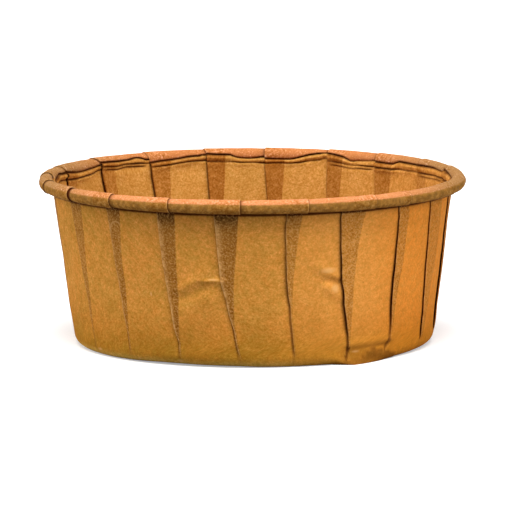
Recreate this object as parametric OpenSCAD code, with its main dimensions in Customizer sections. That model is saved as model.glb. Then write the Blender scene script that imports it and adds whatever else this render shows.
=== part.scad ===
// Pleated paper cup: one round sheet of kraft paper, pressed into a cup with knife pleats
// all round the wall, crimped under the rim and rolled outward into a bead.
// The origin is on the table at the middle of the base, and +Z is up. The front is at -Y.

/* [Cup] */
// Outside diameter of the rolled rim
rim_d = 79.4; // [68:0.2:100]
// Height from the table to the top of the rim
cup_h = 31.5; // [22:0.5:45]
// Lean of the wall from vertical, in degrees
wall_lean = 7.5; // [3:0.1:20]
// How far the base was pressed off the middle of the rim, towards the right
base_shift = 0.2; // [-1:0.1:1]
// Outside radius of the fold between the base and the wall
fold_r = 2; // [1:0.1:4]

/* [Paper] */
// Thickness of one layer of paper
paper_t = 0.12; // [0.08:0.01:0.16]
// Air between the layers of a pleat
layer_gap = 0.04; // [0.02:0.01:0.06]

/* [Pleats] */
// Number of pleats round the wall
pleats = 20; // [14:1:26]
// Angle of the middle of the first pleat from the front, towards the right, in degrees
first_pleat = -7; // [-10:1:10]
// Height up the wall over which a pleat opens from nothing into a flat fold
dart_h = 1.4; // [0.8:0.1:3]

/* [Rim] */
// Outside diameter of the rolled bead
bead_d = 2.6; // [2.2:0.1:4]
// Angle that the edge of the paper is rolled through, in degrees
roll_turn = 315; // [225:45:360]
// Height of the crimped neck, up to the middle of the bead
neck_h = 2.6; // [1.5:0.1:5]
// How far the wall under the neck stands in from the bead's inner side
neck_in = 0.1; // [0:0.1:2]
// How far the creases of the crimp stand in and out of the neck
crimp = 0.25; // [0.05:0.05:0.4]

/* [Hidden] */

// What the press leaves uneven: how far each pleat stands from its even place, as a share of
// the pitch, and how deep it is folded against the average. Both repeat if there are more pleats.
place_shift = [
    -0.03, 0.05, 0.05, 0.11, 0.08, 0.06, 0.05, 0, 0, -0.03,
    0.01, -0.01, -0.03, 0.04, 0.11, 0, -0.1, 0.03, 0, 0
];
fold_share = [
    1.15, 0.75, 1.35, 0.85, 1.3, 1.3, 1, 0.85, 1.1, 0.8,
    0.95, 0.9, 1.05, 0.9, 0.95, 1, 1, 1, 0.75, 0.9
];

// Steps of the profile's curves
FOLD_STEPS = 3;
ROLL_STEP = 45;
// Spacing along the paper of the points that a pleat grows from
SEED_STEP = 0.1;

// The three layers of a pleat lie one layer pitch apart, on both sides of the sheet's middle
half_t = paper_t / 2;
layer_pitch = paper_t + layer_gap;
half_stack = layer_pitch + half_t;
pitch = 360 / pleats;

// Radius of the wall's middle at a height, from where the neck begins down to the table
neck_z = cup_h - bead_d / 2 - neck_h;
neck_r = rim_d / 2 - bead_d - neck_in - half_stack;
function wall_r(z) = neck_r - (neck_z - z) * tan(wall_lean);

// Middle of the sheet round the fold at the base
fold_mid = fold_r - half_t;
fold_top_z = fold_r - fold_mid * sin(wall_lean);
fold_centre_r = wall_r(fold_top_z) - fold_mid * cos(wall_lean);

// Middle of the sheet round the bead: a true arc over the top and the outside, and then wound
// inward past its own start, so that the cut edge ends up inside the bead
bead_r = rim_d / 2 - bead_d / 2;
bead_z = cup_h - bead_d / 2;
bead_mid = bead_d / 2 - half_stack;
WOUND_FROM = 225;
WOUND_BY = 360;
wound_in = 2 * half_stack + 4 * layer_gap;
function roll_r(turn) =
    bead_mid - wound_in * min(1, max(0, turn - WOUND_FROM) / (WOUND_BY - WOUND_FROM));

// Profile of the sheet's middle, as [radius, height], from the base to the cut edge
fold_points = [
    for (i = [0:FOLD_STEPS])
        let (a = -90 + i * (90 - wall_lean) / FOLD_STEPS)
        [fold_centre_r + fold_mid * cos(a), fold_r + fold_mid * sin(a)]
];
wall_points = [
    for (h = [dart_h / 2, dart_h, neck_z - fold_top_z])
        [wall_r(fold_top_z + h), fold_top_z + h]
];
neck_top_r = bead_r - bead_mid;
neck_points = [
    for (i = [1, 2])
        let (share = i / 3, out = i == 1 ? crimp : -crimp)
        [neck_r + share * (neck_top_r - neck_r) + out, neck_z + share * neck_h]
];
roll_points = [
    for (turn = [0:ROLL_STEP:roll_turn])
        let (a = 180 - turn)
        [bead_r + roll_r(turn) * cos(a), bead_z + roll_r(turn) * sin(a)]
];
profile = concat(fold_points, wall_points, neck_points, roll_points);
rings = len(profile);
DART_RING = FOLD_STEPS + 1;

// Distance of each profile point from the middle of the flat sheet, along the paper
steps = [for (j = [1:rings - 1]) norm(profile[j] - profile[j - 1])];
function reach(j) = j == 0 ? profile[0][0] : reach(j - 1) + steps[j - 1];

// Direction out of the cup's outer face at each profile point
function along(j) = profile[min(j + 1, rings - 1)] - profile[max(j - 1, 0)];
function outward(j) = j == 0 ? [0, -1] : [along(j)[1], -along(j)[0]] / norm(along(j));

// Width of a pleat's fold at each ring: the paper left over there, shared by the pleats,
// each of which takes it up twice
function fold_w(j) = PI * (reach(j) - profile[j][0]) / pleats;

// A pleat has six points on each face of the paper, from under its outer fold to over its inner
// fold. Each is [distance from the pleat's middle along the wall, distance out of the wall].
PLEAT_POINTS = 6;
function seed_pleat(face) = [
    for (i = [0:PLEAT_POINTS - 1])
        [(i - (PLEAT_POINTS - 1) / 2) * SEED_STEP, face * half_t]
];
function standing_pleat(face) = [
    [-2 * layer_pitch, face * half_t - layer_pitch],
    [-face * half_t, face * half_t - layer_pitch],
    [-face * half_t, -layer_pitch / 3],
    [-face * half_t, layer_pitch / 3],
    [-face * half_t, face * half_t + layer_pitch],
    [2 * layer_pitch, face * half_t + layer_pitch]
];
function flat_pleat(face, w) =
    let (
        inner_nose = w / 2 + (face < 0 ? half_t : 0),
        outer_nose = -w / 2 - (face > 0 ? half_t : 0)
    )
    [
        [-w / 2, face * half_t - layer_pitch],
        [inner_nose, face * half_t - layer_pitch],
        [inner_nose, -face * half_t],
        [outer_nose, -face * half_t],
        [outer_nose, face * half_t + layer_pitch],
        [w / 2, face * half_t + layer_pitch]
    ];
function pleat_points(face, j, share) =
    j < DART_RING ? seed_pleat(face)
    : j == DART_RING ? standing_pleat(face)
    : flat_pleat(face, share * fold_w(j));

// Angle of a pleat's middle, from +X
function pleat_angle(i) =
    first_pleat - 90 + pitch * (i + place_shift[i % len(place_shift)]);

// Points of one face round one ring: face is 1 for the outside of the cup and -1 for the inside.
// Each pleat gives one point in the middle of the panel before it, and its own six.
COLUMNS = PLEAT_POINTS + 1;
columns = pleats * COLUMNS;
function pleat(face, j, i) = pleat_points(face, j, fold_share[i % len(fold_share)]);
function turn_of(j, u) = u / profile[j][0] * 180 / PI;
function panel_turn(face, j, i) =
    let (
        before = (i + pleats - 1) % pleats,
        whole_turn = i == 0 ? 360 : 0,
        end = pleat_angle(before) - whole_turn + turn_of(j, pleat(face, j, before)[PLEAT_POINTS - 1][0]),
        start = pleat_angle(i) + turn_of(j, pleat(face, j, i)[0][0])
    )
    (end + start) / 2;
function shift_at(z) = base_shift * (1 - max(0, min(1, z / neck_z)));
function place(j, turn, out) =
    let (p = profile[j] + out * outward(j))
    [p[0] * cos(turn) + shift_at(p[1]), p[0] * sin(turn), p[1]];
function ring(face, j) = [
    for (i = [0:pleats - 1])
        each concat(
            [place(j, panel_turn(face, j, i), face * half_t)],
            [for (p = pleat(face, j, i)) place(j, pleat_angle(i) + turn_of(j, p[0]), p[1])]
        )
];

// The paper's outer face, its inner face, and the middle of the base on both
points = concat(
    [for (j = [0:rings - 1]) each ring(1, j)],
    [for (j = [0:rings - 1]) each ring(-1, j)],
    [[base_shift, 0, 0], [base_shift, 0, paper_t]]
);
function outer(j, k) = j * columns + k % columns;
function inner(j, k) = (rings + j) * columns + k % columns;
last = rings - 1;
outer_middle = 2 * rings * columns;
inner_middle = outer_middle + 1;

// Each strip between two columns is cut along the same diagonal on all the layers of a pleat,
// which for the layer that runs back is the other one
BACK_COLUMN = 3;
function strip(a, b, c, d, back) =
    back ? [[a, b, d], [b, c, d]] : [[a, b, c], [a, c, d]];
faces = concat(
    [
        for (j = [0:rings - 2], k = [0:columns - 1])
            let (back = k % COLUMNS == BACK_COLUMN)
            each strip(outer(j, k), outer(j + 1, k), outer(j + 1, k + 1), outer(j, k + 1), back)
    ],
    [
        for (j = [0:rings - 2], k = [0:columns - 1])
            let (back = k % COLUMNS == BACK_COLUMN)
            each [
                for (f = strip(inner(j, k), inner(j + 1, k), inner(j + 1, k + 1), inner(j, k + 1), back))
                    [f[2], f[1], f[0]]
            ]
    ],
    [
        for (k = [0:columns - 1])
            each strip(outer(last, k), inner(last, k), inner(last, k + 1), outer(last, k + 1), false)
    ],
    [for (k = [0:columns - 1]) [outer_middle, outer(0, k), outer(0, k + 1)]],
    [for (k = [0:columns - 1]) [inner_middle, inner(0, k + 1), inner(0, k)]]
);

// The whole cup, folded from one sheet
module pleated_cup() {
    color("peru")
        polyhedron(points = points, faces = faces, convexity = 10);
}

pleated_cup();
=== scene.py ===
import math

import bpy
from mathutils import Matrix, Vector, noise


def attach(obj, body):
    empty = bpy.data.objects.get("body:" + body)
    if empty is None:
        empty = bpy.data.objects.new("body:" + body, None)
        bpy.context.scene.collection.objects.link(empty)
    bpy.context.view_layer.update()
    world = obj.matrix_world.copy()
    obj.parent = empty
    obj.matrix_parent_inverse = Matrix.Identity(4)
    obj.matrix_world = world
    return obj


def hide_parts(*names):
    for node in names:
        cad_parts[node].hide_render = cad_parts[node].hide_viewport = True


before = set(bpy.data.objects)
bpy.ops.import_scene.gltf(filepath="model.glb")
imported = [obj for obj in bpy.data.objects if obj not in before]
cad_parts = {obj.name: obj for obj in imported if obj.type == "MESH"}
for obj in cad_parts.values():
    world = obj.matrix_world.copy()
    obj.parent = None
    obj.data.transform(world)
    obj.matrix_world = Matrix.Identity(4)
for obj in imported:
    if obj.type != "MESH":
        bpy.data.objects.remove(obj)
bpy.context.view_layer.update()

MM = 0.001


# The view: a long lens, a little above the rim, as the photograph was taken.
# The cup's right side stands a touch higher in the picture, so the camera is rolled a little.
VIEW_RISE = math.radians(8.07)
VIEW_ROLL = math.radians(-0.23)
VIEW_DISTANCE = 1100 * MM
AIM = Vector((0.63 * MM, 0, 15.9 * MM))
LENS = 415.1
SENSOR = 36.0

bpy.ops.object.select_all(action="DESELECT")
bpy.ops.object.camera_add(
    location=AIM + VIEW_DISTANCE * Vector((0, -math.cos(VIEW_RISE), math.sin(VIEW_RISE)))
)
camera = bpy.context.object
camera.name = "photo_view"
view_turn = Matrix.Rotation(math.pi / 2 - VIEW_RISE, 4, "X") @ Matrix.Rotation(VIEW_ROLL, 4, "Z")
camera.rotation_euler = view_turn.to_euler()
camera.data.lens = LENS
camera.data.sensor_width = SENSOR
camera.data.clip_start = 10 * MM
camera.data.clip_end = 20.0
bpy.context.scene.camera = camera


# The studio: an even pale surround, one wide soft lamp high in front of the cup, weaker ones on
# its right and its left, and a plain pale floor that shows white and keeps the cup's shadow.
SURROUND = 0.31
TOP_POWER = 3.5
RIGHT_POWER = 1.7
LEFT_POWER = 2.35
FLOOR_SIZE = 6.0
FLOOR_GREY = 0.18
FLOOR_WHITE = 0.75
FLOOR_GLOW = 0.35


def sun_lamp(name, power, angle, azimuth, elevation):
    """A soft far lamp, placed by where it shines from: azimuth 0 is the front, 90 the right.
    All its angles are in degrees."""
    bpy.ops.object.select_all(action="DESELECT")
    bpy.ops.object.light_add(type="SUN")
    lamp = bpy.context.object
    lamp.name = name
    lamp.data.energy = power
    lamp.data.angle = math.radians(angle)
    side = math.radians(azimuth)
    rise = math.radians(elevation)
    source = Vector((
        math.sin(side) * math.cos(rise), -math.cos(side) * math.cos(rise), math.sin(rise)
    ))
    lamp.rotation_euler = source.to_track_quat("Z", "Y").to_euler()
    return lamp


sun_lamp("top_lamp", TOP_POWER, angle=35, azimuth=0, elevation=66)
sun_lamp("right_lamp", RIGHT_POWER, angle=50, azimuth=58, elevation=22)
sun_lamp("left_lamp", LEFT_POWER, angle=60, azimuth=-88, elevation=18)

world = bpy.data.worlds.new("studio")
bpy.context.scene.world = world
world.use_nodes = True


def seen_directly(tree):
    """1 for a ray from the camera, straight or by way of gloss or glass, and 0 for any other."""
    path = tree.nodes.new("ShaderNodeLightPath")
    total = path.outputs["Is Camera Ray"]
    for kind in ("Is Glossy Ray", "Is Transmission Ray"):
        either = tree.nodes.new("ShaderNodeMath")
        either.operation = "MAXIMUM"
        tree.links.new(total, either.inputs[0])
        tree.links.new(path.outputs[kind], either.inputs[1])
        total = either.outputs[0]
    return total


surround = world.node_tree.nodes["Background"]
surround.inputs["Color"].default_value = (1, 1, 1, 1)
level = world.node_tree.nodes.new("ShaderNodeMix")
level.inputs["A"].default_value = SURROUND
level.inputs["B"].default_value = 1.0
world.node_tree.links.new(seen_directly(world.node_tree), level.inputs["Factor"])
world.node_tree.links.new(level.outputs["Result"], surround.inputs["Strength"])

bpy.ops.object.select_all(action="DESELECT")
bpy.ops.mesh.primitive_plane_add(size=FLOOR_SIZE)
floor = bpy.context.object
floor.name = "floor"
floor_paint = bpy.data.materials.new("pale_floor")
floor_paint.use_nodes = True
floor.data.materials.append(floor_paint)
floor_tree = floor_paint.node_tree
floor_finish = floor_tree.nodes["Principled BSDF"]
floor_finish.inputs["Roughness"].default_value = 0.9
floor_finish.inputs["Specular IOR Level"].default_value = 0.0
floor_seen = seen_directly(floor_tree)
shade = floor_tree.nodes.new("ShaderNodeMix")
shade.data_type = "RGBA"
shade.inputs[6].default_value = (FLOOR_GREY, FLOOR_GREY, FLOOR_GREY, 1)
shade.inputs[7].default_value = (FLOOR_WHITE, FLOOR_WHITE, FLOOR_WHITE, 1)
floor_tree.links.new(floor_seen, shade.inputs["Factor"])
floor_tree.links.new(shade.outputs[2], floor_finish.inputs["Base Color"])
glow = floor_tree.nodes.new("ShaderNodeMath")
glow.operation = "MULTIPLY"
glow.inputs[1].default_value = FLOOR_GLOW
floor_tree.links.new(floor_seen, glow.inputs[0])
floor_finish.inputs["Emission Color"].default_value = (1, 1, 1, 1)
floor_tree.links.new(glow.outputs[0], floor_finish.inputs["Emission Strength"])


# The cup: one round sheet of kraft paper. A press pushes it into a ring, so that the paper left
# over round the wall folds itself into knife pleats. The neck is then crimped, which crumples it,
# and the edge is rolled outward into a bead, layers and all.
RIM_R = 39.7 * MM
CUP_H = 31.5 * MM
WALL_LEAN = math.radians(7.5)
FOLD_R = 2.0 * MM
BASE_SHIFT = 0.2 * MM
BEAD_R = 1.35 * MM
NECK_H = 2.6 * MM
PLEATS = 20

# The sheet is modelled by its middle and then given thickness, a little less than the solid's.
# The layers of a pleat lie WALL_LAYER apart, and in the bead they are pressed into one another.
PAPER = 0.09 * MM
WALL_LAYER = 0.14 * MM
BEAD_LAYER = 0.05 * MM

BEAD_MID = BEAD_R - BEAD_LAYER - PAPER / 2
BEAD_AXIS_R = RIM_R - BEAD_R
BEAD_AXIS_Z = CUP_H - BEAD_R
NECK_Z = BEAD_AXIS_Z - NECK_H
NECK_R = RIM_R - 2 * BEAD_R - WALL_LAYER - PAPER / 2
FOLD_MID = FOLD_R - PAPER / 2
FOLD_TOP_Z = FOLD_R - FOLD_MID * math.sin(WALL_LEAN)
FOLD_TOP_R = NECK_R - (NECK_Z - FOLD_TOP_Z) * math.tan(WALL_LEAN)
FLAT_R = FOLD_TOP_R - FOLD_MID * math.cos(WALL_LEAN)
WALL_RISE = NECK_Z - FOLD_TOP_Z

# The bead is rolled over the top and down the outside, and its edge ends wound in under itself.
# Turns are in degrees from the bead's inner side.
ROLL_TO = 300
WIND_FROM = 258
WIND_IN = 0.4 * MM

# The sheet's rings, each by the part of the cup that it lies in and its place in that part: a
# share, or in the neck what its height is measured from, how far above that it is, and how far
# the sheet stands out there. Between the two creases of the neck, heights are shares of their gap.
# Some panels have a third crease, below the lower one.
FOLD_STEPS = 6
FIRST_BEAD_RING = ("bead", 0)
UNDER_UPPER_RING = ("neck", "between", 0.88, -0.12)
UNDER_LOWER_RING = ("neck", "lower", -0.12, -0.04)
THIRD_RING = ("neck", "lower", -0.50, -0.12)
rings = [("base", share) for share in (0.15, 0.5, 0.8, 0.94, 1)]
rings += [("fold", k / FOLD_STEPS) for k in range(1, FOLD_STEPS)]
rings += [("wall", z * MM / WALL_RISE) for z in (
    0, 0.4, 0.8, 1.3, 1.8, 2.3, 2.8, 3.5, 4.4, 5.6, 7, 8.4, 9.7, 10.8, 11.6, 12.4, 13.1, 13.7,
    14.1, 14.4, 14.6, 14.8, 15.2, 15.8, 16.6, 17.8, 19.2, 20.8, 22.4, 23.8, 25
)]
rings += [
    ("neck", "foot", 0.0, 0.0),
    ("neck", "lower", -0.80, -0.02),
    THIRD_RING,
    ("neck", "lower", -0.30, -0.17),
    UNDER_LOWER_RING,
    ("neck", "lower", 0.0, 0.32),
    ("neck", "between", 0.15, 0.02),
    ("neck", "between", 0.32, -0.25),
    ("neck", "between", 0.54, -0.30),
    ("neck", "between", 0.74, -0.26),
    UNDER_UPPER_RING,
    ("neck", "upper", 0.0, 0.45),
    ("neck", "upper", 0.14, 0.50),
    FIRST_BEAD_RING,
]
rings += [("bead", share) for share in (
    0.04, 0.085, 0.135, 0.19, 0.25, 0.31, 0.37, 0.43, 0.49, 0.55, 0.61, 0.68, 0.76, 0.84, 0.92, 1
)]
RINGS = len(rings)
BEAD_FOOT = 0.22 * MM

# The neck's creases, panel by panel, for the ten panels that show inside, from the right side
# round the back to the left: each point has its share of the way round the panel, how far the
# upper and the lower crease lie below the rim in millimetres, and how deep each is pressed.
# The panels that don't show repeat them, the other way round and within limits.
crumpled_panels = [
    [(0, 1.5, 2.6, 0.6, 0.3), (0.3, 1.4, 2.6, 0.9, 0.5), (0.7, 1.1, 2.6, 1.0, 0.8),
     (1, 0.8, 2.6, 0.9, 0.8)],
    [(0, 1.3, 2.5, 0.2, 0.9), (0.5, 1.2, 2.5, 0.8, 0.9), (1, 1.25, 2.6, 1.0, 0.5)],
    [(0, 1.3, 2.6, 1.0, 0.2), (0.5, 1.2, 2.6, 0.9, 0.3), (0.64, 1.8, 2.7, 0.9, 1.0),
     (1, 1.75, 2.65, 1.1, 1.0)],
    [(0, 1.6, 2.6, 0.4, 0.5), (0.4, 1.9, 2.6, 0.3, 0.5), (0.52, 2.1, 2.75, 0.6, 0.5),
     (0.62, 1.6, 2.6, 1.0, 0.3), (0.72, 1.2, 2.4, 1.1, 0.3), (1, 0.75, 2.1, 1.1, 0.3)],
    [(0, 0.7, 1.7, 1.0, 0.4), (0.3, 1.15, 2.25, 1.1, 0.4), (0.45, 1.6, 2.65, 1.0, 1.0),
     (0.6, 2.1, 2.75, 1.0, 1.1), (1, 2.1, 2.8, 1.0, 1.1)],
    [(0, 1.8, 2.8, 0.8, 1.0), (0.3, 2.0, 2.8, 0.8, 0.9), (0.45, 1.85, 2.75, 0.8, 0.7),
     (0.6, 1.2, 2.6, 1.2, 0.4), (1, 1.05, 2.4, 1.3, 0.4)],
    [(0, 1.2, 2.2, 1.2, 0.6), (0.28, 1.35, 2.2, 1.1, 0.6), (0.66, 1.75, 2.55, 0.9, 0.8),
     (1, 2.0, 2.7, 1.1, 0.6)],
    [(0, 1.35, 2.0, 0.7, 0.7), (0.25, 0.75, 1.85, 0.7, 0.7), (0.42, 1.2, 1.85, 1.0, 1.0),
     (0.65, 1.3, 1.95, 1.2, 1.1), (1, 1.0, 1.75, 1.1, 1.0)],
    [(0, 1.5, 2.4, 0.6, 0.5), (0.3, 1.9, 2.85, 0.8, 0.6), (0.65, 2.0, 3.0, 0.6, 0.7),
     (1, 1.4, 2.9, 1.1, 0.6)],
    [(0, 1.45, 2.9, 1.2, 0.5), (0.5, 1.25, 2.6, 1.1, 0.4), (1, 2.2, 3.0, 1.0, 0.3)],
]
FIRST_SEEN_PANEL = 9
HIDDEN_UPPER = 1.2
HIDDEN_LOWER = 2.4
CREASE_GAP = 0.65

# How deep the third crease is, by the panel's place among those that show, and how far it then
# stands out in millimetres
THIRD_CREASES = {1: 0.6, 3: 0.8, 7: 1.0}
THIRD_OUT = 0.4

# How unevenly the two creases run: waves in each panel, then how far these move each crease up or
# down in millimetres, and how much they change its depth
CREASE_WAVES = 4.0
UPPER_WAVER = 0.15
LOWER_WAVER = 0.18
UPPER_UNEVEN = 0.5
LOWER_UNEVEN = 1.3

# How the press left each pleat, from the front leftwards round to the front again: the angle of
# its middle under the neck, how far its tip at the base stands from that, its width against the
# average, how far it gapes on the outside and on the inside, and how dark the painted shade of its
# layers is.
# Angles are in degrees from the front, to the right, and gaps in millimetres.
pleat_facts = [
    (-60.4, -3.1, 1.00, 0.04, 0.10, 0.75),
    (-43.1, -1.7, 0.77, 0.04, 0.10, 0.92),
    (-25.0, -0.8, 0.90, 0.04, 0.10, 1.0),
    (-7.6, 2.6, 1.14, 0.05, 0.10, 1.0),
    (11.9, 0.6, 0.74, 0.36, 0.08, 0.62),
    (29.9, 1.5, 1.35, 0.52, 0.08, 0.5),
    (49.0, -0.6, 0.87, 0.36, 0.08, 0.48),
    (66.5, 1.2, 1.29, 0.16, 0.08, 0.38),
    (84.1, 0.4, 1.32, 0.22, 0.08, 0.6),
    (102.0, -1.0, 1.00, 0.15, 0.08, 0.6),
    (119.1, 0.8, 0.85, 0.12, 0.08, 0.55),
    (137.1, -0.6, 1.10, 0.10, 0.10, 0.85),
    (154.5, 0.9, 0.82, 0.08, 0.10, 0.9),
    (173.2, -0.4, 0.95, 0.10, 0.15, 1.0),
    (190.8, 0.8, 0.90, 0.06, 0.40, 1.0),
    (208.5, -1.6, 1.04, 0.12, 0.52, 0.8),
    (227.9, -4.0, 0.89, 0.10, 0.60, 0.8),
    (247.4, -4.0, 0.97, 0.08, 0.45, 0.7),
    (263.0, 0.6, 1.00, 0.05, 0.15, 0.8),
    (279.0, -0.5, 1.00, 0.05, 0.15, 0.8),
]

# How the folds of the front pleats run down the bead and the wall, from the left: at each height,
# the angles of the outer and of the inner fold. The last row of a pleat is where it runs out into
# the fold of the base. The folds of the other pleats run straight.
pleat_lines = [
    [(30.5, -65.9, -59.4), (28, -64.1, -57.6), (22, -62.9, -58.2), (17, -62.1, -58.9),
     (12.5, -61.4, -59.2), (7, -60.8, -59.6), (3, -60.2, -60.0)],
    [(30.5, -47.0, -41.6), (28, -45.5, -40.6), (23.5, -45.0, -41.1), (18.5, -44.4, -41.6),
     (14, -43.9, -41.3), (8, -42.9, -41.6), (4, -42.3, -42.2)],
    [(30.5, -28.9, -23.1), (28, -27.6, -22.3), (24, -27.4, -22.5), (19, -27.0, -22.8),
     (15, -26.3, -22.7), (9, -25.1, -23.1), (4, -23.8, -23.4)],
    [(30.5, -10.6, -3.4), (28, -10.7, -4.0), (25, -10.3, -4.3), (21, -9.9, -4.9),
     (17.5, -9.5, -5.4), (15.5, -9.0, -5.7), (10.8, -7.3, -5.8), (8, -6.4, -5.8),
     (5.4, -5.6, -5.4), (1, -4.2, -4.2)],
    [(30.5, 9.9, 14.8), (28, 9.8, 14.1), (25, 9.6, 13.2), (21, 9.8, 12.4), (16.5, 10.1, 11.8),
     (12.5, 10.8, 11.5), (9.5, 11.3, 11.4), (3, 12.6, 12.7)],
    [(30.5, 27.4, 34.6), (28, 25.8, 33.5), (23.5, 26.2, 32.1), (18.7, 26.9, 31.4),
     (16, 27.1, 31.2), (14, 27.8, 31.0), (11.5, 28.3, 31.1), (8, 29.4, 30.9), (5, 30.2, 30.8),
     (1.5, 30.8, 30.9)],
    [(30.5, 44.3, 46.9), (28, 46.6, 50.7), (23, 46.9, 50.3), (17.6, 46.7, 49.9),
     (13.5, 46.6, 48.6), (9, 46.9, 48.0), (5.4, 47.3, 47.8), (3.6, 47.2, 47.4),
     (1.5, 45.4, 45.6)],
    [(30.5, 62.6, 71.0), (28, 62.3, 70.2), (22, 63.4, 70.8), (16, 64.0, 70.6), (12, 64.7, 69.0),
     (7.7, 65.7, 68.4), (3, 66.2, 67.1), (1.5, 65.3, 65.8)],
]
NARROWEST = 0.2 * MM
FOLD_WAVER = 0.12 * MM

# The steps that the pleats' edges make on the bead: how far each stands open, and by how much when
# it is widest. At the left the edges lean down the outside of the bead, by a share of their angle
# that begins partway round it. At the back some lean over its top, by these degrees.
STEP_GAPS = [1.0, 0.6, 0.3, 0.45, 0.1, 0.0, 0.0, 0.0] + [0.4] * 6 + [0.3] * 4 + [0.8] * 2
STEP_OPEN = 0.35 * MM
STEP_TWIST = 0.013
TWIST_FROM, TWIST_OVER = 0.3, 0.47
BACK_TWIST = {14: 0.35, 15: 1.0, 16: 1.9, 17: 2.2}

# Creases that the press and handling left in the wall: the angle and height where each begins and
# ends, how far it stands out, or in if negative, and how far it reaches above and below its line.
wall_creases = [
    (-21.0, 14.6, -13.8, 17.8, 0.20, 1.2, 1.8),
    (-22.5, 12.7, -12.3, 15.6, -0.34, 1.7, 1.5),
    (-13.5, 16.3, -10.0, 16.4, 0.42, 0.42, 1.8),
    (18.7, 18.6, 25.8, 16.6, 0.34, 0.8, 1.0),
    (21.0, 15.9, 26.8, 15.5, -0.16, 0.7, 0.6),
    (22.5, 14.9, 26.8, 13.1, 0.30, 0.7, 1.4),
    (149.0, 28.0, 153.0, 18.0, 0.16, 1.4, 1.4),
    (121.0, 27.0, 127.0, 21.0, 0.12, 1.4, 1.4),
    (12.0, 22.5, 16.5, 20.5, 0.1, 0.9, 1.2),
    (33.0, 0.9, 39.3, 2.5, 0.25, 0.4, 1.4),
    (39.3, 2.5, 50.0, 1.0, 0.25, 0.4, 1.4),
    (29.5, 2.75, 48.0, 3.0, -0.24, 0.5, 0.5),
    (29.5, 3.7, 48.0, 3.9, 0.16, 0.8, 0.8),
]

# Lines of painted shade near the base, where folds of the crushed corner close on themselves: the
# angle and height where each begins and ends, how far it reaches, and how dark it is.
shade_lines = [
    (30.7, 3.0, 29.6, 1.1, 0.3, 0.85), (47.0, 3.4, 45.3, 2.2, 0.3, 0.7),
    (32.0, 2.85, 37.0, 3.0, 0.3, 0.25), (37.0, 3.0, 46.8, 3.2, 0.3, 0.35),
    (39.3, 2.55, 49.5, 0.95, 0.3, 0.66), (28.0, 0.0, 58.0, 0.0, 0.12, 0.7)
]

# Pale spots, partly scuffed and partly painted highlights on ledges, ridges and tips that face the
# light: the angle and height of each, and how far it reaches across and up
pale_and_lit_spots = [
    (-57.5, 1.3, 0.9, 0.4), (-38.9, 0.6, 0.6, 0.5), (-23.4, 0.9, 0.8, 0.5),
    (-11.6, 16.5, 1.3, 0.3), (-9.3, 20.0, 0.25, 1.2), (22.6, 17.9, 2.0, 0.7),
    (25.2, 14.4, 1.1, 1.0), (33.5, 2.3, 1.1, 0.3), (-31.9, 13.2, 0.25, 0.6)
]
SPOT_PALENESS = 0.6

# A fibre that has come loose on the left, curled round a point at this angle and height
HAIR_AT = (-42.4, 24.7)
HAIR_R = 1.5 * MM
HAIR_W = 0.24 * MM

# How far the base's edge is lifted off the table, by angle. The lift fades out up the wall, and
# inward on the base from this share of its radius.
edge_lift = [
    (-55, 0), (-43, 0.08), (-37, 0.2), (-31, 0.3), (-24, 0.3), (-18, 0.25), (-5, 0.18), (2, 0.03),
    (10, 0), (60, 0), (68, 0.12), (82, 0.12), (100, 0), (140, 0.15), (170, 0), (215, 0.2),
    (250, 0)
]
EDGE_H = 6 * MM
LIFT_FROM = 0.75

# At the right front the edge is crushed, and each of these is given by angle: how sharp the rounded
# fold is pinched, how far its corner stands out, how high the triangle of painted shade beside the
# corner reaches in millimetres, and how much painted shade lies between that and the crease above
# it.
pinched = [(26, 0), (31.5, 1.0), (36, 0.95), (43, 0.75), (48, 0.4), (54, 0.1), (60, 0)]
corner_out = [(20, 0), (25, 0.25), (31.5, 1.3), (36, 1.0), (43, 0.45), (50, 0)]
crushed_top = [
    (20, 0), (24, 0.35), (28, 0.7), (31.1, 0.8), (34.1, 1.15), (35.5, 1.6), (37.4, 2.25),
    (39.3, 2.8), (41.9, 2.15), (45.5, 1.65), (49.5, 0.9), (53.8, 0.35), (60, 0)
]
beside_crushed = [(26, 0), (29, 0.4), (37, 0.4), (42, 0.2), (48, 0.15), (50, 0)]
CORNER_H = 2.8 * MM
CORNER_SHARP = 0.8
CREASE_Z = 2.9
CRUSHED_SHADE = 0.62


def smooth(x):
    x = min(1.0, max(0.0, x))
    return x * x * (3 - 2 * x)


def between(table, x):
    """The row of a table at x, in straight lines between its points."""
    if x <= table[0][0]:
        return table[0][1:]
    for a, b in zip(table, table[1:]):
        if x <= b[0]:
            t = (x - a[0]) / (b[0] - a[0])
            return tuple(p + (q - p) * t for p, q in zip(a[1:], b[1:]))
    return table[-1][1:]


def neck_creases(panel, share):
    """Heights of the upper and lower crease at a place in a panel, and how deep these and the
    third one are pressed."""
    seen = panel % PLEATS - FIRST_SEEN_PANEL
    if 0 <= seen < len(crumpled_panels):
        upper, lower, upper_deep, lower_deep = between(crumpled_panels[seen], share)
    else:
        pattern = crumpled_panels[3 * panel % len(crumpled_panels)]
        upper, lower, upper_deep, lower_deep = between(pattern, 1 - share)
        upper = max(upper, HIDDEN_UPPER)
        lower = min(lower, HIDDEN_LOWER)
    along = CREASE_WAVES * (panel % PLEATS + share)
    upper += UPPER_WAVER * noise.noise(Vector((along, 1.3, 0.5)))
    lower += LOWER_WAVER * noise.noise(Vector((along, 5.3, 0.5)))
    upper_deep *= 1 + UPPER_UNEVEN * noise.noise(Vector((along, 9.3, 0.5)))
    lower_deep *= 1 + LOWER_UNEVEN * noise.noise(Vector((along, 13.3, 0.5)))
    upper = min(upper, lower - CREASE_GAP)
    third_deep = THIRD_CREASES.get(seen, 0.0) * smooth(8 * share * (1 - share))
    return CUP_H - upper * MM, CUP_H - lower * MM, upper_deep, lower_deep, third_deep


EVEN_CREASES = (CUP_H - 1.6 * MM, CUP_H - 2.5 * MM, 0.0, 0.0, 0.0)


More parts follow.
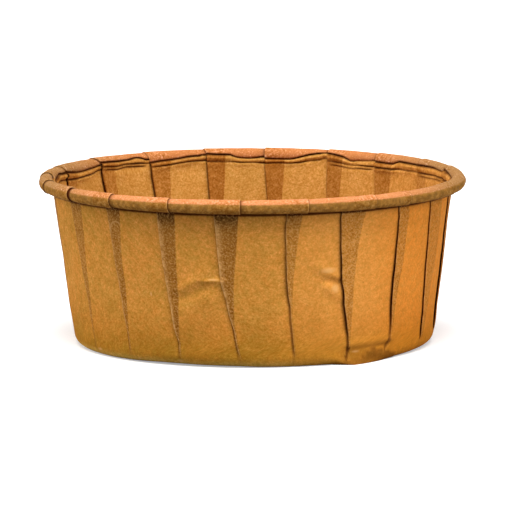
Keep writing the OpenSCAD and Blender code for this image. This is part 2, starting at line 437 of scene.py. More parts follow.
def roll_start(creases):
    """The turn at which the bead begins, just above the upper crease."""
    rise = (creases[0] + BEAD_FOOT - BEAD_AXIS_Z) / BEAD_MID
    return math.degrees(math.asin(max(-0.8, min(0.6, rise))))


def roll_point(turn):
    """Place of the sheet's middle round the bead, and its outer face's direction."""
    wound = max(0, turn - WIND_FROM) / (ROLL_TO - WIND_FROM)
    radius = BEAD_MID - WIND_IN * wound
    angle = math.radians(180 - turn)
    across, up = math.cos(angle), math.sin(angle)
    return BEAD_AXIS_R + radius * across, BEAD_AXIS_Z + radius * up, -across, -up


def sheet_point(j, creases=EVEN_CREASES):
    """The sheet's middle at ring j: its radius and height, its outer face's direction, and how
    far the crimp pushes it out."""
    part = rings[j][0]
    share = rings[j][1]
    if part == "base":
        return FLAT_R * share, PAPER / 2, 0.0, -1.0, 0.0
    if part == "fold":
        a = share * (math.pi / 2 - WALL_LEAN)
        return (
            FLAT_R + FOLD_MID * math.sin(a), FOLD_R - FOLD_MID * math.cos(a),
            math.sin(a), -math.cos(a), 0.0
        )
    if part == "wall":
        z = share * WALL_RISE
        return (
            FOLD_TOP_R + z * math.tan(WALL_LEAN), FOLD_TOP_Z + z,
            math.cos(WALL_LEAN), -math.sin(WALL_LEAN), 0.0
        )
    upper, lower, upper_deep, lower_deep, third_deep = creases
    first_turn = roll_start(creases)
    if part == "bead":
        return roll_point(first_turn + (ROLL_TO - first_turn) * share) + (0.0,)
    anchor, above, push = rings[j][1:]
    z = {
        "foot": NECK_Z,
        "lower": lower + above * MM,
        "between": lower + above * (upper - lower),
        "upper": upper + above * MM,
    }[anchor]
    deep = upper_deep if anchor == "upper" or (anchor == "between" and above > 0.5) else lower_deep
    top_r, top_z = roll_point(first_turn)[:2]
    r = NECK_R + (top_r - NECK_R) * (z - NECK_Z) / (top_z - NECK_Z)
    if rings[j] == THIRD_RING:
        push += THIRD_OUT * third_deep
    return r, z, 1.0, 0.0, push * deep * MM


even_points = [sheet_point(j) for j in range(RINGS)]
reach = [even_points[0][0]]
for here, below in zip(even_points[1:], even_points):
    reach.append(reach[-1] + math.dist(here[:2], below[:2]))
SHEET_R = reach[-1]


def wall_share(j):
    """0 where the wall begins at the base, 1 under the neck and above it."""
    if rings[j][0] in ("base", "fold"):
        return 0.0
    return rings[j][1] if rings[j][0] == "wall" else 1.0


# How far a pleat has formed where the wall begins, and how much higher it has formed in full
FORMED_AT_FOLD = 0.35
FORMED_BY = 1.3 * MM


def folded_share(j):
    """How far the pleats have formed at ring j: 0 on the flat base, 1 a little up the wall."""
    part, share = rings[j][:2]
    if part == "base":
        return 0.0
    if part == "fold":
        return FORMED_AT_FOLD * smooth((share - 0.35) / 0.65)
    if part == "wall":
        return FORMED_AT_FOLD + (1 - FORMED_AT_FOLD) * smooth(share * WALL_RISE / FORMED_BY)
    return 1.0


def spare_paper(j):
    """Width of an average pleat at ring j, from the paper left over there."""
    return math.pi * (reach[j] - even_points[j][0]) / PLEATS


def pleat_folds(i, j):
    """Angles of the outer and of the inner fold of pleat i at ring j, in radians."""
    r, z = even_points[j][:2]
    angle, tip_off, share = pleat_facts[i % PLEATS][:3]
    if i % PLEATS < len(pleat_lines):
        height = CUP_H if rings[j][0] == "bead" else z
        outer, inner = between(pleat_lines[i % PLEATS][::-1], height / MM)
        if rings[j][0] == "bead":
            inner += STEP_TWIST * max(0.0, -inner) * (rings[j][1] - TWIST_FROM) / TWIST_OVER
        outer, inner = math.radians(outer), math.radians(inner)
    else:
        if rings[j][0] == "bead":
            angle += BACK_TWIST.get(i % PLEATS, 0.0) * min(1.0, rings[j][1] / TWIST_FROM)
        middle = math.radians(angle + tip_off * (1 - wall_share(j)))
        half = share * spare_paper(j) / 2 / r
        outer, inner = middle - half, middle + half
    if rings[j][0] == "wall":
        waver = noise.noise(Vector((3.1 * (i % PLEATS), 0.35 * z / MM, 4.0)))
        outer += FOLD_WAVER * waver / r
    short = max(0.0, NARROWEST / r - (inner - outer)) / 2
    return outer - short, inner + short


def pleat_middle(i, j):
    return sum(pleat_folds(i, j)) / 2 + 2 * math.pi * (i // PLEATS)


def pleat_width(i, j):
    outer, inner = pleat_folds(i, j)
    return (inner - outer) * even_points[j][0]


# A pleat is an S of three layers. Going round to the right, the paper runs under to the inner
# fold, back through the middle to the outer fold, and on over the top. A gape at a fold springs the
# two layers that meet there off the third, over SPRING_REACH: the free one by FREE_SHARE of it, and
# the middle one by MIDDLE_OUT at the outer fold and MIDDLE_IN at the inner one. The third gives way
# by HELD_SHARE, over SINK_REACH.
FREE_SHARE, HELD_SHARE = 0.6, 0.4
MIDDLE_OUT, MIDDLE_IN = 0.55, 0.1
SPRING_REACH = 1.5 * MM
SINK_REACH = 0.7 * MM
EDGE_SOFT = 0.12 * MM
BEND_BULGE = 0.09 * MM
BEND_TURNS = (-67.5, -22.5, 22.5, 67.5)
NARROW_HALF = 0.4 * MM

# Gapes, in millimetres: one of WIDE_GAPE gets the darkest painted shade beside its fold, every
# inner fold has LEAST_GAPE, and a step that stands open on the bead adds STEP_GAPE. Towards the top
# of the wall the bead holds the pleats shut by HELD_SHUT of their gape, and the neck leaves
# NECK_GAPE of what remains.
WIDE_GAPE = 0.4
LEAST_GAPE = 0.04
STEP_GAPE = 0.14
HELD_SHUT = 0.6
NECK_GAPE = 0.8

# Points across each pleat and across the panel before it: more where the wall has dents or is
# crushed. On the base a pleat's points lie FLAT_STEP apart.
STATIONS = 25
PAST_FOLD = 3
FLAT_STEP = 0.05 * MM
PANEL_POINTS = [6, 7, 9, 22, 9, 20, 20, 10, 7] + [7] * 11
COLUMNS = sum(PANEL_POINTS) + PLEATS * STATIONS


def pleat_stations(i, j):
    """Points across pleat i at ring j, going round to the right: (distance from its middle,
    distance out of the wall, layered, paleness that is partly use and partly painted highlight, and
    painted shade on the outer face and on the inner one)."""
    part = rings[j][0]
    a = pleat_width(i, j) / 2
    formed = folded_share(j) * (0.35 + 0.65 * smooth(a / NARROW_HALF))
    s = wall_share(j)
    gape_out, gape_in, dark = pleat_facts[i % PLEATS][3:]
    grown = smooth(s / 0.09 + 0.25)
    held = 1 - HELD_SHUT * smooth((s - 0.5) / 0.5)
    shade = min(1.0, grown * held ** 2 * gape_out / WIDE_GAPE)
    if part == "neck":
        grown *= NECK_GAPE
    if part == "bead":
        grown = 0.0
    gape_out *= grown * held * MM
    gap = STEP_GAPS[i % PLEATS] if part == "bead" else 0.0
    gape_in = (max(gape_in * grown, LEAST_GAPE) + STEP_GAPE * gap) * MM
    layer = BEAD_LAYER if part == "bead" else WALL_LAYER
    soft = min(EDGE_SOFT, a * 0.4)

    def near_a(u, spread):
        return math.exp(-abs(u + a) / spread)

    def near_b(u, spread):
        return math.exp(-abs(u - a) / spread)

    def under(u):
        sink = HELD_SHARE * gape_out * near_a(u, SINK_REACH)
        return -layer - sink - FREE_SHARE * gape_in * near_b(min(u, a), SPRING_REACH)

    def middle(u):
        lift = MIDDLE_OUT * gape_out * near_a(u, SPRING_REACH)
        return lift - MIDDLE_IN * gape_in * near_b(u, SPRING_REACH)

    def over(u):
        lift = FREE_SHARE * gape_out * near_a(max(u, -a), SPRING_REACH)
        return layer + lift + HELD_SHARE * gape_in * near_b(u, SINK_REACH)

    def bend(side, low, high):
        bulge = min(BEND_BULGE, 0.5 * (high - low))
        return [(
            side * (a + bulge * math.cos(math.radians(turn))),
            (low + high) / 2 + (high - low) / 2 * math.sin(math.radians(turn))
        ) for turn in BEND_TURNS]

    # Under: each point's distance from the middle, and how much painted shade its outer and inner
    # face get where the folds shut out the light
    points = []
    for u, outer, inner in (
        (-a - 0.9 * MM, 0, 0), (-a - 0.35 * MM, 0.08 + 0.17 * shade, 0),
        (-a - 0.1 * MM, 0.3 + 0.4 * shade, 0),
        (-a + soft, 1, 0), (0, 1, 0), (a - 2 * soft, 1, 0), (a - soft, 1, 0)
    ):
        points.append((u, under(u), 0.0 if u < -a else dark, 0.0, outer, inner))
    # Round the inner fold, and back through the middle
    for (u, h), inner in zip(bend(1, under(a), middle(a)), (0, 0, 0.4, 0.9)):
        points.append((u, h, dark, 0.3, 1.0, inner))
    for u in (a - soft, 0.0, -a + soft):
        points.append((u, middle(u), dark, 0.0, 1.0, 1.0))
    # Round the outer fold, which is scuffed pale and given a painted highlight where light catches
    # it, and over the top
    fold_paleness = 0.35 + 0.65 * smooth((dark - 0.6) / 0.3)
    for (u, h), outer, worn_and_lit in zip(
        bend(-1, middle(-a), over(-a)), (0.9, 0.5, 0, 0), (0, 0.4, 1, 0.8)
    ):
        points.append((u, h, dark, worn_and_lit * fold_paleness, outer, 1.0))
    # Low on the wall the outer fold's edge is pale, partly scuffed and partly a painted highlight
    edge_wear_and_highlight = max(0.0, 4.5 * (dark - 0.88)) if part == "wall" else 0.0
    # Beside a step that stands open on the bead, the inner face gets painted shade
    for u, worn_and_lit, inner in (
        (-a + soft, edge_wear_and_highlight, 1), (-a / 3, 0, 1), (a / 3, 0, 1), (a - soft, 0, 1),
        (a + soft, 0, 0.6 + 0.4 * gap),
        (a + 0.4 * MM + STEP_OPEN * gap, 0, 0.05 + 0.95 * gap ** 2),
        (a + 0.9 * MM + STEP_OPEN * gap, 0, 0.1 * gap ** 2)
    ):
        points.append((u, over(u), 0.0 if u > a else dark, worn_and_lit, 0.0, inner))

    spread = FLAT_STEP * even_points[j][0] / FLAT_R
    flat_middle = (len(points) - 1) / 2
    blended = []
    for k, (u, h, *paints) in enumerate(points):
        flat_u = (k - flat_middle) * spread
        blended.append((
            flat_u + (u - flat_u) * formed, h * formed, *[paint * formed for paint in paints]
        ))
    return blended


# How far beside a pleat its gapes still lift the wall
EASE_REACH = 2.5 * MM


def ring_columns(j):
    """Every column at ring j, going round to the right: its angle, its distance out of the wall,
    the neck creases there, and its paints."""
    r = even_points[j][0]
    pleats = [pleat_stations(i, j) for i in range(PLEATS)]
    columns = []
    for i in range(PLEATS):
        before, after = pleats[i - 1], pleats[i]
        last_middle = pleat_middle(i - 1, j)
        start = last_middle + before[-1][0] / r
        middle = pleat_middle(i, j)
        end = middle + after[0][0] / r
        panel_start = last_middle + pleat_width(i - 1, j) / 2 / r
        panel_end = middle + pleat_width(i, j) / 2 / r

        def creases_at(angle):
            share = (angle - panel_start) / (panel_end - panel_start)
            return neck_creases(i, min(1.0, max(0.0, share)))

        width = (end - start) * r
        for k in range(PANEL_POINTS[i]):
            t = (k + 1) / (PANEL_POINTS[i] + 1)
            out = before[-1][1] * (1 - smooth(t * width / EASE_REACH))
            out += after[0][1] * (1 - smooth((1 - t) * width / EASE_REACH))
            angle = start + (end - start) * t
            columns.append((angle, out, creases_at(angle), (0.0, 0.0, 0.0, 0.0)))
        next_creases = neck_creases(i + 1, 0.0)
        for k, (u, h, *paints) in enumerate(after):
            angle = middle + u / r
            creases = next_creases if k >= STATIONS - PAST_FOLD else creases_at(angle)
            columns.append((angle, h, creases, tuple(paints)))
    return columns


# Small tucks of the crumpled neck that run up into the bead: angle, depth and lean. Each is TUCK_W
# millimetres wide and reaches round the bead by TUCK_TURN degrees.
bead_tucks = [
    (165.2, -0.20, 0.045), (186.3, -0.12, 0.03), (149.6, -0.16, -0.04), (131.6, -0.14, 0.05),
    (214.5, -0.12, -0.03), (240, -0.1, 0.04), (101, -0.1, 0.03), (30, -0.1, 0.04),
    (302, -0.12, -0.04)
]
TUCK_W = 1.3
TUCK_TURN = 70

# Unevenness of the pressed paper, as (how far it stands out in millimetres, waves per millimetre)
SWELL = (0.16, 0.11)
RIPPLE = (0.05, 0.35)
CRUMPLE = (0.26, 0.65)
BEAD_WAVE = (0.04, 0.12)


def off_line(angle, z, line, r):
    """Where a place on the wall lies off a line between two others, in millimetres: each place is
    an angle in degrees and a height."""
    a0, z0, a1, z1 = line
    here = Vector((math.radians(angle - a0) * r / MM, z - z0))
    along = Vector((math.radians(a1 - a0) * r / MM, z1 - z0))
    return here - along * min(1.0, max(0.0, here.dot(along) / along.length_squared))


def relief(theta, j, z):
    """How far the sheet stands out of its even shape at an angle, a ring and a height."""
    part = rings[j][0]
    r = even_points[j][0]
    at = Vector((math.sin(theta) * r, -math.cos(theta) * r, z)) / MM
    angle = (math.degrees(theta) + 180) % 360 - 180
    push = 0.0
    if part in ("wall", "fold"):
        ease = smooth(wall_share(j) / 0.15)
        push += SWELL[0] * ease * noise.noise(at * SWELL[1])
        push += RIPPLE[0] * ease * noise.noise(at * RIPPLE[1] + Vector((5, 1, 3)))
        for *line, out, above, below in wall_creases:
            off = off_line(angle, at.z, line, r)
            off.y /= above if off.y > 0 else below
            off.x /= max(above, below)
            push += out * max(0.0, 1 - off.length)
    if part == "neck":
        push += CRUMPLE[0] * noise.noise(at * CRUMPLE[1])
    if part == "bead":
        wave = Vector((at.x * BEAD_WAVE[1], at.y * BEAD_WAVE[1], 5.0))
        push += BEAD_WAVE[0] * noise.noise(wave)
        roll = rings[j][1] * ROLL_TO
        for tuck, depth, lean in bead_tucks:
            off = abs((math.degrees(theta) - tuck - lean * roll + 180) % 360 - 180)
            away = math.radians(off) * r / MM / TUCK_W
            push += depth * max(0.0, 1 - away) * max(0.0, 1 - roll / TUCK_TURN)
    return push * MM


def place(theta, j, out, creases):
    """The point of the cup at an angle, at ring j and at a distance out of the wall."""
    r, z, out_r, out_z, push = sheet_point(j, creases)
    out += push + relief(theta, j, z)
    r += out_r * out
    z += out_z * out
    angle = math.degrees(theta)
    wrapped = angle - 360 if angle > 300 else angle
    if rings[j][0] == "base":
        near_edge = smooth((rings[j][1] - LIFT_FROM) / (1 - LIFT_FROM))
    else:
        near_edge = 1 - smooth(z / EDGE_H)
    z += between(edge_lift, wrapped)[0] * MM * near_edge
    corner = near_edge if rings[j][0] == "base" else 1 - smooth(z / CORNER_H)
    sharp = between(pinched, wrapped)[0] * corner
    if rings[j][0] in ("base", "fold"):
        r += sharp * (FOLD_TOP_R - r)
    if rings[j][0] != "base":
        z -= CORNER_SHARP * sharp * min(z, FOLD_R)
    r += between(corner_out, wrapped)[0] * MM * corner
    shift = BASE_SHIFT * (1 - min(1.0, max(0.0, z / NECK_Z)))
    return Vector((math.sin(theta) * r + shift, -math.cos(theta) * r, z))


# The neck's creases get painted shade on the inner face: by CREASE_DARK at least, more by
# DARKER_DEEP the deeper they are, and darkest at the back left. Just below them and above them it
# is less.
CREASE_DARK, DARKER_DEEP = 0.42, 0.75
LOWER_DARK = 0.8
BEAD_FOOT_DARK, UNDER_UPPER_DARK, UNDER_LOWER_DARK = 0.8, 0.5, 0.35
BACK_LEFT_DARKER = 1.5
BACK_LEFT_X = -10 * MM


def crease_shade(ring, creases, place):
    """How much painted shade the inner face gets at a ring of the neck, or where the bead begins.
    """
    upper_deep, lower_deep, third_deep = creases[2:]
    dark = 0.0
    if ring[0] == "neck" and ring[3] > 0:
        deep = upper_deep if ring[1] == "upper" else lower_deep
        dark = min(1.0, CREASE_DARK + DARKER_DEEP * deep)
        if ring[1] == "lower":
            dark *= LOWER_DARK
    elif ring == FIRST_BEAD_RING:
        dark = BEAD_FOOT_DARK * min(1.0, upper_deep)
    elif ring == UNDER_UPPER_RING:
        dark = UNDER_UPPER_DARK * min(1.0, upper_deep)
    elif ring == THIRD_RING:
        dark = third_deep
    elif ring == UNDER_LOWER_RING:
        dark = UNDER_LOWER_DARK * min(1.0, lower_deep)
    if place.x < BACK_LEFT_X and place.y > 0:
        dark = min(1.0, BACK_LEFT_DARKER * dark)
    return dark


def corner_shade(angle, z):
    """Painted shade on the outer face round the crushed corner: the height is in millimetres."""
    top = between(crushed_top, angle)[0]
    crushed = smooth((top + 0.2 - z) / 0.5) if top > 0 else 0.0
    beside = smooth((CREASE_Z - z) / 0.5) * between(beside_crushed, angle)[0]
    shade = max(CRUSHED_SHADE * crushed, beside)
    for *line, reach_of_line, strength in shade_lines:
        off = off_line(angle, z, line, FLAT_R).length / reach_of_line
        shade = max(shade, strength * smooth(1.5 - off))
    return shade


# The flat blank: a disc whose edge is extruded outward, one ring of paper at a time.
bpy.ops.object.select_all(action="DESELECT")
bpy.ops.mesh.primitive_circle_add(vertices=COLUMNS, radius=reach[0], fill_type="TRIFAN")
cup = bpy.context.object
cup.name = "pressed_cup"
bpy.ops.object.mode_set(mode="EDIT")
bpy.ops.mesh.select_mode(type="EDGE")
bpy.ops.mesh.select_all(action="SELECT")
bpy.ops.mesh.region_to_loop()
for j in range(1, RINGS):
    grow = reach[j] / reach[j - 1]
    bpy.ops.mesh.extrude_edges_move()
    bpy.ops.transform.resize(value=(grow, grow, 1), center_override=(0, 0, 0))
bpy.ops.mesh.select_all(action="SELECT")
bpy.ops.mesh.normals_make_consistent(inside=False)
bpy.ops.object.mode_set(mode="OBJECT")

# The press: each point of the blank goes to its place in the cup, and keeps its place on the
# flat sheet as its UV, so that the fibres of the paper run through the folds.
sheet = cup.data
reach_after = [(a + b) / 2 for a, b in zip(reach, reach[1:])]
all_columns = [ring_columns(j) for j in range(RINGS)]
spots = [
    [place(angle, j, out, creases) for angle, out, creases, paints in all_columns[j]]
    for j in range(RINGS)
]
sheet_angle = []
for row, ring in zip(spots, rings):
    if ring[0] in ("neck", "bead"):
        sheet_angle.append(sheet_angle[-1])
        continue
    gone = [0.0]
    for a, b in zip(row, row[1:] + row[:1]):
        gone.append(gone[-1] + (b - a).length)
    sheet_angle.append([2 * math.pi * g / gone[-1] for g in gone[:-1]])

layered, worn_and_lit, shut_outer, shut_inner, roll_turn = [], [], [], [], []
flat_places = []
for v in sheet.vertices:
    distance = math.hypot(v.co.x, v.co.y)
    if distance < reach[0] / 2:
        v.co = Vector((BASE_SHIFT, 0, PAPER / 2))
        flat_places.append((0.5, 0.5))
        for paint in (layered, worn_and_lit, shut_outer, shut_inner, roll_turn):
            paint.append(0.0)
        continue
    j = sum(1 for limit in reach_after if distance > limit)
    k = round(math.atan2(v.co.y, v.co.x) / (2 * math.pi) * COLUMNS) % COLUMNS
    v.co = spots[j][k]
    share = 0.5 * reach[j] / SHEET_R
    angle = sheet_angle[j][k]
    flat_places.append((0.5 + share * math.cos(angle), 0.5 + share * math.sin(angle)))
    creases, paints = all_columns[j][k][2:]
    layered.append(paints[0])
    worn_and_lit.append(paints[1])
    shut = paints[2]
    if rings[j][0] in ("fold", "wall") or rings[j] == ("base", 1):
        shut = max(shut, corner_shade(math.degrees(all_columns[j][k][0]), v.co.z / MM))
    shut_outer.append(shut)
    shut_inner.append(max(paints[3], crease_shade(rings[j], creases, v.co)))
    rolled = 0.0
    if rings[j][0] == "bead":
        first_turn = roll_start(creases)
        rolled = max(1.0, first_turn + (ROLL_TO - first_turn) * rings[j][1])
    roll_turn.append(rolled)
flat_map = sheet.uv_layers.new(name="flat_sheet")
for corner in sheet.loops:
    flat_map.data[corner.index].uv = flat_places[corner.vertex_index]
sheet.update()
if sheet.polygons[0].normal.z > 0:
    sheet.flip_normals()

thickness = cup.modifiers.new("paper", "SOLIDIFY")
thickness.thickness = PAPER
thickness.offset = 0
bpy.ops.object.modifier_apply(modifier=thickness.name)
bpy.ops.object.shade_smooth()

# What the shader reads at each point: the sheet's two faces have the same paints, but each gets
# the painted shade of the folds on its own side.
first_is_outer = sheet.vertices[0].co.z < sheet.vertices[len(layered)].co.z
painted_shade = shut_outer + shut_inner if first_is_outer else shut_inner + shut_outer
inner_face = [0.0] * len(layered) + [1.0] * len(layered)
if not first_is_outer:
    inner_face.reverse()
for name, values in (
    ("layered", layered * 2), ("worn_and_lit", worn_and_lit * 2), ("roll_turn", roll_turn * 2),
    ("painted_shade", painted_shade), ("inner_face", inner_face)
):
    sheet.attributes.new(name, "FLOAT", "POINT").data.foreach_set("value", values)

# Golden-brown kraft paper: cloudy and grainy, with fibres that run one way over the flat sheet. It
# has painted shade where it lies in layers, near and under the bead, in the folds, the neck's
# creases and the crushed corner, and low on the wall, and it is brighter and more orange on the
# cup's right. Painted highlights lie along the crown of the bead and the fold of the base, and the
# outer folds are pale, partly scuffed and partly painted highlight. Where the folds shut out the
# light it is painted near black.
KRAFT_OLIVE = (0.500, 0.236, 0.036, 1)
KRAFT_ORANGE = (0.660, 0.265, 0.047, 1)
KRAFT_RIGHT_SIDE = (0.790, 0.315, 0.059, 1)
KRAFT_AMBER = (0.830, 0.275, 0.035, 1)
KRAFT_INSIDE = (0.465, 0.228, 0.052, 1)
LAYERED_SHADE_OUTSIDE = (0.318, 0.125, 0.018, 1)
INSIDE_SHADE_AND_SPECKS = (0.325, 0.118, 0.018, 1)
BEAD_OUTSIDE = (0.300, 0.135, 0.025, 1)
BEAD_SIDES = (0.310, 0.153, 0.051, 1)
BEAD_LOW = (0.470, 0.212, 0.041, 1)
BEAD_DARK = (0.150, 0.072, 0.016, 1)
BEAD_INSIDE = (0.465, 0.168, 0.052, 1)
BEAD_HIGHLIGHT = (0.570, 0.215, 0.080, 1)
PALE_FLECK = (0.780, 0.420, 0.190, 1)
WEAR_AND_HIGHLIGHT = (0.800, 0.440, 0.160, 1)
SHADED = (0.070, 0.014, 0.001, 1)
SHADE_BY_THE_BEAD = (0.070, 0.032, 0.007, 1)
FOLD_SHADE = (0.055, 0.010, 0.001, 1)
PALE_LAYERS = (0.540, 0.275, 0.088, 1)
GREENER = (0.880, 0.980, 0.750, 1)

kraft = bpy.data.materials.new("kraft_paper")
kraft.use_nodes = True
cup.data.materials.append(kraft)
nodes = kraft.node_tree.nodes
links = kraft.node_tree.links
paper = nodes["Principled BSDF"]
paper.inputs["Roughness"].default_value = 0.8
paper.inputs["Specular IOR Level"].default_value = 0.03


def add(kind, label, values=None, **settings):
    """A node of the paper's shader, with its inputs linked or set."""
    item = nodes.new("ShaderNode" + kind)
    item.label = label
    for name, value in settings.items():
        setattr(item, name, value)
    for name, value in (values or {}).items():
        if isinstance(value, bpy.types.NodeSocket):
            links.new(value, item.inputs[name])
        else:
            item.inputs[name].default_value = value
    return item


def paint_of(name):
    return add("Attribute", name, attribute_name=name).outputs["Fac"]


def mottle(label, vector, scale, detail, roughness=0.55):
    return add("TexNoise", label, {
        "Vector": vector, "Scale": scale, "Detail": detail, "Roughness": roughness
    }).outputs["Fac"]


def ramp(label, value, low, high, out_low=0.0, out_high=1.0):
    return add("MapRange", label, {
        "Value": value, "From Min": low, "From Max": high, "To Min": out_low, "To Max": out_high
    }, interpolation_type="SMOOTHSTEP").outputs["Result"]


def blend(label, factor, a, b, kind="MIX"):
    mix = add("Mix", label, data_type="RGBA", blend_type=kind)
    for socket, value in ((mix.inputs["Factor"], factor), (mix.inputs[6], a), (mix.inputs[7], b)):
        if isinstance(value, bpy.types.NodeSocket):
            links.new(value, socket)
        else:
            socket.default_value = value
    return mix.outputs[2]


def maths(label, operation, a, b=0.0):
    return add("Math", label, {0: a, 1: b}, operation=operation).outputs[0]


def both(label, a, b):
    return maths(label, "MULTIPLY", a, b)


# Noise over the flat sheet, by the millimetre, and fibres that run across it
FIBRE_RUN = 0.5
on_sheet = add("UVMap", "flat sheet", uv_map="flat_sheet").outputs["UV"]
flat_mm = add("Mapping", "millimetres", {
    "Vector": on_sheet, "Scale": (2 * SHEET_R / MM, 2 * SHEET_R / MM, 1)
}).outputs["Vector"]
along_fibres = add("Mapping", "fibre run", {
    "Vector": on_sheet, "Rotation": (0, 0, FIBRE_RUN),
    "Scale": (1.2 * SHEET_R / MM, 4.4 * SHEET_R / MM, 1)
}).outputs["Vector"]
clouds = mottle("clouds", flat_mm, 0.13, 2)
blotches = mottle("blotches", flat_mm, 0.9, 3, 0.6)
fibres = mottle("fibres", along_fibres, 1.0, 4, 0.65)
grain = mottle("grain", flat_mm, 1.7, 3, 0.75)
fine = mottle("fine grain", flat_mm, 3.0, 2, 0.6)
patches = mottle("patches", flat_mm, 0.45, 2, 0.6)

# What each point is part of
layers = paint_of("layered")
inside = paint_of("inner_face")
roll = paint_of("roll_turn")
on_bead = maths("on the bead", "GREATER_THAN", roll, 0.5)
off_bead = maths("off the bead", "SUBTRACT", 1.0, on_bead)
wall_inside = both("inside, off the bead", inside, off_bead)
outside = maths("outside", "SUBTRACT", 1.0, inside)
on_cup = add("TexCoord", "place").outputs["Object"]
position = add("SeparateXYZ", "on the cup", {"Vector": on_cup})
rightward = position.outputs["X"]
height = position.outputs["Z"]

# The wall and the base
cloudy = maths("cloudy", "ADD",
               both("cloud part", clouds, 0.45), both("blotch part", blotches, 0.55))
colour = blend("kraft", ramp("cloud reach", cloudy, 0.3, 0.7), KRAFT_OLIVE, KRAFT_ORANGE)
# Brighter and more orange towards the cup's right
right = ramp("to the right", rightward, -2 * MM, 20 * MM)
right_orange = ramp("toasted reach", blotches, 0.25, 0.75, 0.6, 1.0)
far_right = ramp("far to the right", rightward, 18 * MM, 30 * MM)
right_side_colour = blend("toasted colour", far_right, KRAFT_RIGHT_SIDE, KRAFT_AMBER)
colour = blend("right_orange", both("toasted right", right_orange, right), colour, right_side_colour)
colour = blend("inner face", both("inner share", inside, 0.7), colour, KRAFT_INSIDE)
# Painted shade where the paper lies in layers: three layers let less light through than one
layer_colour = blend("layers", inside, LAYERED_SHADE_OUTSIDE, INSIDE_SHADE_AND_SPECKS)
colour = blend("layered", layers, colour, layer_colour)

# Painted shade: the layers darken towards the bead, and a painted shadow lies in the crevice under
# it
shade_near_bead = ramp("near the bead", height, 25.2 * MM, 28.2 * MM, 0.0, 0.46)
shade_near_bead = both("by the bead, outside", shade_near_bead, outside)
shade_near_bead = both("less far left", shade_near_bead,
                 ramp("not far left", rightward, -30 * MM, -16 * MM, 0.5, 1.5))
shade_near_bead = both("less on the right", shade_near_bead, ramp("not right", right, 0.0, 1.0, 1.0, 0.0))
colour = blend("by the bead", both("by the bead, layered", shade_near_bead, layers), colour, SHADE_BY_THE_BEAD)
crevice = ramp("below the bead", height, 28.1 * MM, 28.5 * MM, 0.0, 0.95)
crevice = both("crevice", both("crevice outside", crevice, outside), off_bead)
colour = blend("crevice below the bead", crevice, colour, SHADED)

# The bead, with a painted highlight on its crown, strongest at the front and back
facing = maths("front or back", "ABSOLUTE", position.outputs["Y"])
highlight_facing = ramp("rubbed reach", facing, 12 * MM, 34 * MM, 0.0, 1.0)
crown_colour = blend("inner side", ramp("inner reach", roll, 80, 105), BEAD_INSIDE, BEAD_HIGHLIGHT)
lit_crown = blend("lit_crown", highlight_facing, BEAD_SIDES, crown_colour)
ragged = both("ragged", maths("ragged about", "SUBTRACT", grain, 0.5), 30.0)
crown = ramp("crown edge", maths("ragged edge", "ADD", roll, ragged), 148, 162, 1.0, 0.0)
bead_colour = blend("lower bead", ramp("lower reach", roll, 172, 205), BEAD_OUTSIDE, BEAD_LOW)
bead_patches = ramp("bead patches", blotches, 0.42, 0.60, 0.5, 0.0)
bead_colour = blend("bead patched", bead_patches, bead_colour, BEAD_DARK)
bead_colour = blend("bead", crown, bead_colour, lit_crown)
# The same painted shade of the layers, on the lower bead
bead_layers = both("bead layers", layers, ramp("layers low on the bead", roll, 120, 180, 0.1, 0.45))
bead_colour = blend("bead layered", bead_layers, bead_colour, LAYERED_SHADE_OUTSIDE)
# Pale flecks, only within the crown's painted highlight
fleck = both("fleck", ramp("fleck reach", fine, 0.60, 0.70, 0.0, 0.5), crown)
bead_colour = blend("flecked", fleck, bead_colour, PALE_FLECK)
# Painted shade under the roll
underneath = ramp("under the roll", roll, 236, 253, 0.0, 1.0)
bead_colour = blend("bead underneath", underneath, bead_colour, SHADED)
colour = blend("cup or bead", on_bead, colour, bead_colour)

# Inside, the neck's left and the far sides lie in shade
neck_left = both("left of the middle", ramp("neck reach", height, 28.3 * MM, 28.9 * MM, 0.0, 0.4),
                 ramp("leftwards", rightward, -22 * MM, 10 * MM, 1.0, 0.0))
sides = maths("darker sides", "ADD",
              ramp("far left", rightward, -34 * MM, -8 * MM, 0.32, 0.0),
              ramp("far right", rightward, 12 * MM, 34 * MM, 0.0, 0.16))
sides = maths("neck or sides", "MAXIMUM", neck_left, sides)
sides = both("inside only", sides, wall_inside)
colour = blend("darker inside", sides, colour, INSIDE_SHADE_AND_SPECKS)

# Grain, and a foot that is greener and darker by painted shade, with painted light along the fold
# of the base
level = both("grain and fibre", ramp("grain level", grain, 0.25, 0.75, 0.86, 1.14),
             ramp("fibre level", fibres, 0.25, 0.75, 0.96, 1.04))
level = both("fine too", level, ramp("fine level", fine, 0.25, 0.75, 0.88, 1.12))
level = both("patches too", level, ramp("patch level", patches, 0.3, 0.7, 0.95, 1.05))
calm = ramp("calmer on the right", right, 0.0, 1.0, 1.0, 0.65)
calm = maths("not inside", "MAXIMUM", calm, both("inside grain", wall_inside, 1.15))
calm = maths("not in layers", "MAXIMUM", calm, ramp("layer grain", layers, 0.1, 0.5, 0.0, 1.7))
off_mean = maths("off the mean", "SUBTRACT", level, 1.0)
level = maths("calmed", "ADD", 1.0, both("calmer", calm, off_mean))
# Painted shade, darker low down
level = both("darker low down", level, ramp("low level", height, 0.0, 14 * MM, 0.79, 1.0))
green = both("green outside", ramp("green reach", height, 0.5 * MM, 8 * MM, 1.0, 0.0), outside)
colour = blend("greener low down", green, colour, GREENER, "MULTIPLY")
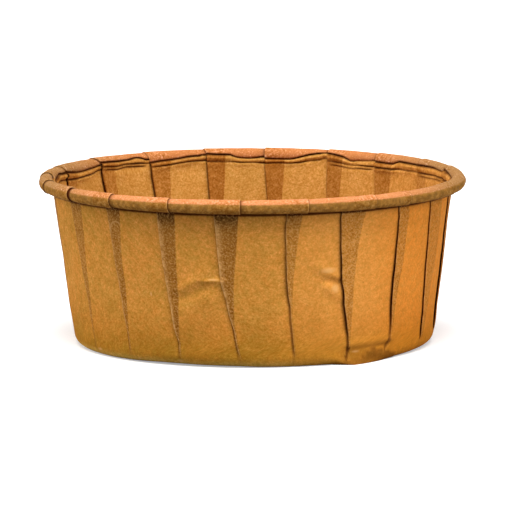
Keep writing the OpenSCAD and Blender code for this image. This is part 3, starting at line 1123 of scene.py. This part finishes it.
# Painted light on the fold of the base, left of the crushed corner
radius = maths("from the middle", "SQRT", maths(
    "squared", "ADD", both("across", rightward, rightward), both("deep", facing, facing)))
edge_light = both("only on the fold", ramp("low edge", height, 0.2 * MM, 1.9 * MM, 0.85, 0.0),
                 ramp("past the base", radius, 31.3 * MM, 32.6 * MM))
edge_light = both("not at the corner", edge_light,
                 ramp("left of the corner", rightward, 0, 17 * MM, 1.0, 0.0))
level = both("paler edge", level, maths("edge level", "ADD", edge_light, 1.0))
tone = add("CombineColor", "tone", {
    "Red": level, "Green": maths("green tone", "POWER", level, 1.45),
    "Blue": maths("blue tone", "POWER", level, 2.8)
}).outputs["Color"]
colour = blend("grained", 1.0, colour, tone, "MULTIPLY")
pale = both("pale in the layers", ramp("pale reach", fine, 0.48, 0.66, 0.0, 0.6), outside)
pale = both("pale where layered", pale, ramp("layered enough", layers, 0.1, 0.5))
colour = blend("pale grains", both("pale on the wall", pale, off_bead), colour, PALE_LAYERS)

# Specks, pale spots that are partly scuffed and partly painted highlight, the loose fibre, and the
# painted shade where the folds shut out the light
specks = add("TexVoronoi", "specks", {"Vector": flat_mm, "Scale": 0.7}).outputs["Distance"]
colour = blend("specked", ramp("speck size", specks, 0.04, 0.15, 0.4, 0.0), colour, INSIDE_SHADE_AND_SPECKS)
wear_and_highlight = both("wear_and_highlight", paint_of("worn_and_lit"), ramp("wear breaks", blotches, 0.35, 0.6, 0.25, 0.85))


def on_wall(angle, z):
    """The point of the wall's outer face at an angle and a height in millimetres."""
    r = FLAT_R + FOLD_R * math.sin(math.acos(max(0.0, 1 - z / 2))) if z < 2 else (
        FOLD_TOP_R + (z * MM - FOLD_TOP_Z) * math.tan(WALL_LEAN))
    return Vector((math.sin(math.radians(angle)) * r, -math.cos(math.radians(angle)) * r, z * MM))


for at, z, across, up in pale_and_lit_spots:
    off = add("VectorMath", "from the spot", {
        0: on_cup, 1: on_wall(at, z)
    }, operation="SUBTRACT")
    off = add("VectorMath", "shape of the spot", {
        0: off.outputs["Vector"], 1: (1 / (across * MM), 1 / (across * MM), 1 / (up * MM))
    }, operation="MULTIPLY")
    off = add("VectorMath", "distance", {0: off.outputs["Vector"]}, operation="LENGTH")
    uneven = maths("uneven spot", "ADD", off.outputs["Value"], both("uneven by", grain, 0.8))
    wear_and_highlight = maths("with the spot", "MAXIMUM", wear_and_highlight, ramp("spot", uneven, 0.6, 1.5, SPOT_PALENESS, 0.0))
colour = blend("worn_and_lit", both("wear outside", wear_and_highlight, maths("or bead", "MAXIMUM", outside, on_bead)),
               colour, WEAR_AND_HIGHLIGHT)

from_hair = add("VectorMath", "from the hair's middle", {
    0: on_cup, 1: on_wall(*HAIR_AT)
}, operation="DISTANCE").outputs["Value"]
off_hair = maths("off the hair", "ABSOLUTE", maths("past the hair", "SUBTRACT", from_hair, HAIR_R))
hair = ramp("hair", off_hair, 0.0, HAIR_W, 0.9, 0.0)
hair = both("upper half", hair, ramp("hair's end", height, 23.8 * MM, 24.6 * MM))
hair = both("left half", hair,
            ramp("hair's start", rightward, -24.4 * MM, -23.8 * MM, 1.0, 0.0))
colour = blend("loose hair", both("hair outside", hair, outside), colour, PALE_LAYERS)
# Painted shade, near black, in the folds and slits, the neck's creases and round the crushed corner
colour = blend("shut in", paint_of("painted_shade"), colour, FOLD_SHADE)
links.new(colour, paper.inputs["Base Color"])

surface = maths("surface", "ADD", both("fibre part", fibres, 0.5), both("fine part", grain, 0.7))
bump = add("Bump", "tooth", {"Height": surface, "Strength": 0.25, "Distance": 0.03 * MM})
links.new(bump.outputs["Normal"], paper.inputs["Normal"])

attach(cup, "root")
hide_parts("pleated_cup")

bpy.context.scene.view_settings.view_transform = "Standard"
